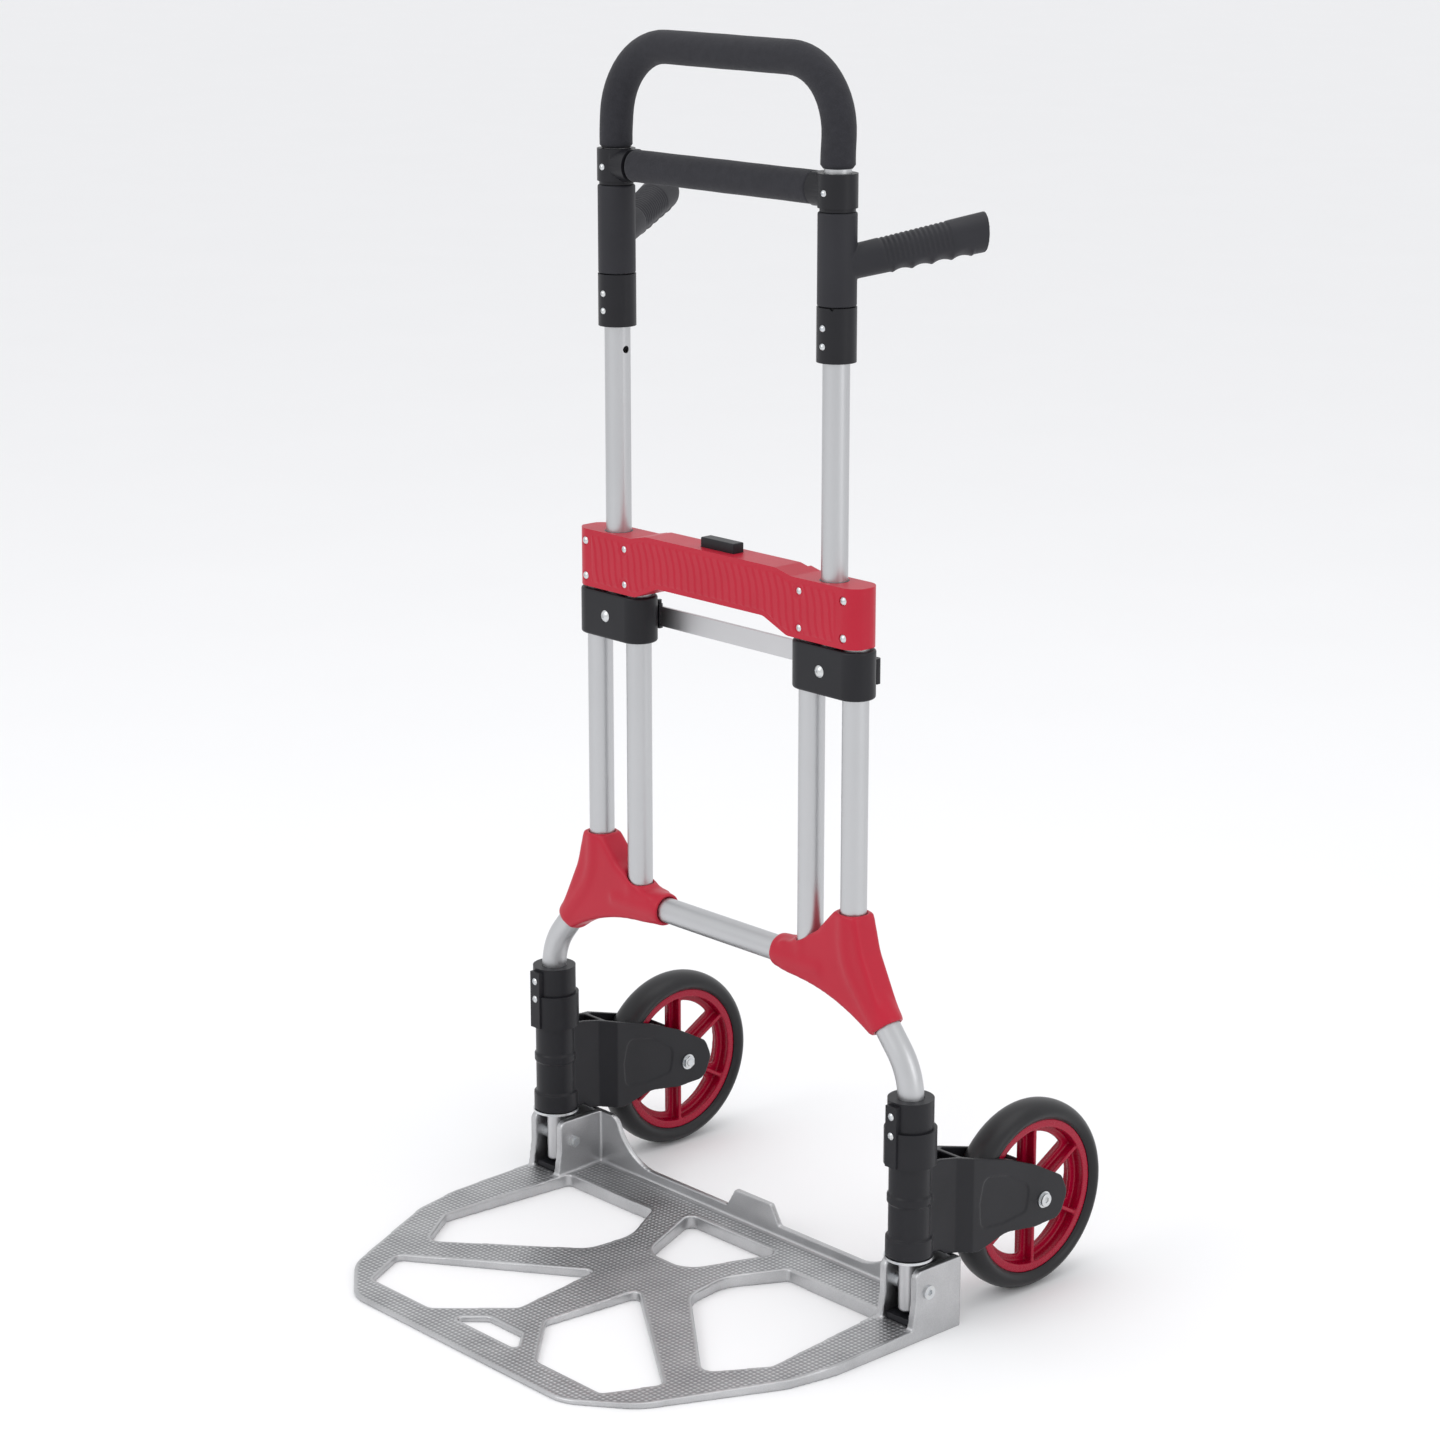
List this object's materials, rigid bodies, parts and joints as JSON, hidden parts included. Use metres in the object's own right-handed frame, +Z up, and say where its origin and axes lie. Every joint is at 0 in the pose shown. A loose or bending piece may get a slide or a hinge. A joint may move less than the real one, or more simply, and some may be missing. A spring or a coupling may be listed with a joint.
{
  "type": "hand truck",
  "caption": "Upright folding hand truck with a windowed toe plate, swing-in wheels, a pull-out loop handle and swivelling side grips.",
  "frame": {"origin": "middle of the footprint, on the ground", "axes": "+Z up along the tubes, +X to the right seen from the toe plate, -Y towards the toe plate, +Y towards the wheels"},
  "size_m": [0.5674, 0.5972, 1.19],
  "materials": {
    "tube_aluminium": "satin anodised",
    "cast_aluminium": "satin cast, tumbled",
    "foot_aluminium": "milled",
    "red_plastic": "satin moulded",
    "black_plastic": "fine moulded grain",
    "grip_plastic": "fine moulded grain",
    "foam": "matte skin foam",
    "rim_plastic": "gloss moulded",
    "tyre_rubber": "smooth moulded",
    "zinc_steel": "bright zinc plated"
  },
  "bodies": {
    "frame": {"left_frame_tube": "tube_aluminium", "right_frame_tube": "tube_aluminium", "left_inner_tube": "tube_aluminium", "right_inner_tube": "tube_aluminium", "cross_tube": "tube_aluminium", "left_gusset": "red_plastic", "right_gusset": "red_plastic", "left_post_collar": "black_plastic", "right_post_collar": "black_plastic", "collar_rivets": "zinc_steel", "post_washers": "zinc_steel", "left_post_foot": "foot_aluminium", "right_post_foot": "foot_aluminium", "left_clamp": "black_plastic", "right_clamp": "black_plastic", "guide_bushes": "black_plastic", "clamp_bolts": "zinc_steel", "tie_strap": "foot_aluminium", "strap_ends": "black_plastic", "crossbar_front": "red_plastic", "crossbar_rear": "red_plastic", "crossbar_screws": "zinc_steel", "crossbar_bushes": "black_plastic", "button_spring": "zinc_steel"},
    "toe_plate": {"toe_plate": "cast_aluminium", "clevis_pads": "black_plastic", "hinge_screws": "zinc_steel", "hinge_nuts": "zinc_steel", "hinge_spacers": "zinc_steel"},
    "handle": {"handle_tube": "tube_aluminium", "top_grip": "foam", "left_tee_fitting": "black_plastic", "right_tee_fitting": "black_plastic", "left_stop_collar": "black_plastic", "right_stop_collar": "black_plastic", "handle_rivets": "zinc_steel", "cross_grip_tube": "tube_aluminium", "cross_grip": "foam", "handle_plugs": "black_plastic"},
    "release_button": {"release_button": "black_plastic"},
    "left_bracket": {"left_wheel_bracket": "black_plastic", "left_axle_bolt": "zinc_steel", "left_axle_nut": "zinc_steel", "left_axle_washers": "zinc_steel", "left_axle_sleeve": "zinc_steel"},
    "left_wheel": {"left_rim": "rim_plastic", "left_tyre": "tyre_rubber", "left_wheel_bearings": "zinc_steel"},
    "left_side_grip": {"left_side_grip": "grip_plastic"},
    "left_lock_pin": {"left_lock_pin": "zinc_steel"},
    "right_bracket": {"right_wheel_bracket": "black_plastic", "right_axle_bolt": "zinc_steel", "right_axle_nut": "zinc_steel", "right_axle_washers": "zinc_steel", "right_axle_sleeve": "zinc_steel"},
    "right_wheel": {"right_rim": "rim_plastic", "right_tyre": "tyre_rubber", "right_wheel_bearings": "zinc_steel"},
    "right_side_grip": {"right_side_grip": "grip_plastic"},
    "right_lock_pin": {"right_lock_pin": "zinc_steel"}
  },
  "joints": [
    {"name": "toe_plate_fold", "type": "hinge", "parent": "frame", "child": "toe_plate", "pos_m": [0, 0.04435, 0.047], "axis": [-1, 0, 0], "range_deg": [0, 90]},
    {"name": "left_bracket_swing", "type": "hinge", "parent": "frame", "child": "left_bracket", "pos_m": [-0.257, 0.04235, 0.12], "axis": [0, 0, -1], "range_deg": [0, 90]},
    {"name": "left_wheel_spin", "type": "hinge", "parent": "left_bracket", "child": "left_wheel", "pos_m": [-0.2555, 0.20435, 0.0943], "axis": [1, 0, 0], "continuous": true},
    {"name": "right_bracket_swing", "type": "hinge", "parent": "frame", "child": "right_bracket", "pos_m": [0.257, 0.04235, 0.12], "axis": [0, 0, 1], "range_deg": [0, 90]},
    {"name": "right_wheel_spin", "type": "hinge", "parent": "right_bracket", "child": "right_wheel", "pos_m": [0.2555, 0.20435, 0.0943], "axis": [1, 0, 0], "continuous": true},
    {"name": "handle_slide", "type": "slide", "parent": "frame", "child": "handle", "axis": [0, 0, 1], "range_m": [-0.197, 0]},
    {"name": "left_side_grip_swivel", "type": "hinge", "parent": "handle", "child": "left_side_grip", "pos_m": [-0.15, 0.04235, 1], "axis": [0, 0, 1], "range_deg": [-110, 60]},
    {"name": "right_side_grip_swivel", "type": "hinge", "parent": "handle", "child": "right_side_grip", "pos_m": [0.15, 0.04235, 1], "axis": [0, 0, 1], "range_deg": [-60, 110]},
    {"name": "release_button_press", "type": "slide", "parent": "frame", "child": "release_button", "axis": [0, 0, -1], "range_m": [0, 0.005], "stiffness_N_per_m": 400, "springref_m": -0.003, "deforming": ["button_spring"]},
    {"name": "left_lock_pin_slide", "type": "slide", "parent": "frame", "child": "left_lock_pin", "axis": [1, 0, 0], "range_m": [0, 0.005]},
    {"name": "right_lock_pin_slide", "type": "slide", "parent": "frame", "child": "right_lock_pin", "axis": [-1, 0, 0], "range_m": [0, 0.005]}
  ],
  "couplings": [
    {"joint": "left_bracket_swing", "follows": "toe_plate_fold", "ratio": 1},
    {"joint": "right_bracket_swing", "follows": "toe_plate_fold", "ratio": 1},
    {"joint": "left_lock_pin_slide", "follows": "release_button_press", "ratio": 1},
    {"joint": "right_lock_pin_slide", "follows": "release_button_press", "ratio": 1}
  ]
}
